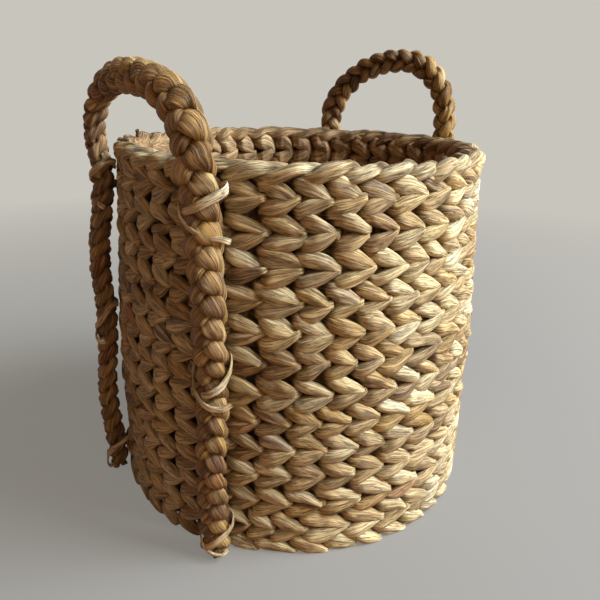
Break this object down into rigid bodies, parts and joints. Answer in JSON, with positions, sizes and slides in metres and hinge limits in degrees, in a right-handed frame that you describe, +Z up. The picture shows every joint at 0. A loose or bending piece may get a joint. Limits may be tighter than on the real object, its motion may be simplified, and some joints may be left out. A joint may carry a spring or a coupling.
{
  "type": "storage basket",
  "caption": "Round twined storage basket with straight walls, open top and a braided arch handle lashed to each side.",
  "frame": {"origin": "middle of the underside, on the surface that the basket stands on", "axes": "+Z up the wall, the two handles on the -X and +X sides, -Y the front"},
  "size_m": [0.3852, 0.358, 0.4253],
  "materials": {
    "weft_outer": "dried fibrous stems, matt with a faint sheen, straw to light brown",
    "weft_inner": "dried fibrous stems, matt, greyer brown inside",
    "rim": "dried fibrous stems, matt with a faint sheen, golden straw",
    "base": "dried fibrous stems, matt, dull brown",
    "cane": "split cane, matt",
    "braid": "thick braid of dried stems, matt with a faint sheen",
    "strip": "peeled pale strip, smooth and slightly glossy"
  },
  "bodies": {
    "basket": {"base_weft_under": "base", "base_weft_over": "base", "upright_frame": "cane", "weft_foot": "weft_outer", "weft_rim": "rim", "weft_01_outer": "weft_outer", "weft_02_outer": "weft_outer", "weft_03_outer": "weft_outer", "weft_04_outer": "weft_outer", "weft_05_outer": "weft_outer", "weft_06_outer": "weft_outer", "weft_07_outer": "weft_outer", "weft_08_outer": "weft_outer", "weft_09_outer": "weft_outer", "weft_10_outer": "weft_outer", "weft_11_outer": "weft_outer", "weft_12_outer": "weft_outer", "weft_01_inner": "weft_inner", "weft_02_inner": "weft_inner", "weft_03_inner": "weft_inner", "weft_04_inner": "weft_inner", "weft_05_inner": "weft_inner", "weft_06_inner": "weft_inner", "weft_07_inner": "weft_inner", "weft_08_inner": "weft_inner", "weft_09_inner": "weft_inner", "weft_10_inner": "weft_inner", "weft_11_inner": "weft_inner", "weft_12_inner": "weft_inner", "left_handle_front_leg": "braid", "left_handle_rear_leg": "braid", "right_handle_front_leg": "braid", "right_handle_rear_leg": "braid", "left_handle_front_tie_low": "strip", "left_handle_front_tie_middle": "strip", "left_handle_front_tie_high": "strip", "left_handle_rear_tie_low": "strip", "left_handle_rear_tie_middle": "strip", "left_handle_rear_tie_high": "strip", "right_handle_front_tie_low": "strip", "right_handle_front_tie_middle": "strip", "right_handle_front_tie_high": "strip", "right_handle_rear_tie_low": "strip", "right_handle_rear_tie_middle": "strip", "right_handle_rear_tie_high": "strip"},
    "left_grip": {"left_handle_grip": "braid"},
    "right_grip": {"right_handle_grip": "braid"}
  },
  "joints": [
    {"name": "left_handle_tilt", "type": "hinge", "parent": "basket", "child": "left_grip", "pos_m": [-0.16715, 0.02156, 0.342], "axis": [0.1279, 0.9918, 0], "range_deg": [-80, 70], "stiffness_Nm_per_rad": 0.05},
    {"name": "right_handle_tilt", "type": "hinge", "parent": "basket", "child": "right_grip", "pos_m": [0.16957, 0.01603, 0.342], "axis": [0.0941, -0.9956, 0], "range_deg": [-80, 70], "stiffness_Nm_per_rad": 0.05}
  ]
}
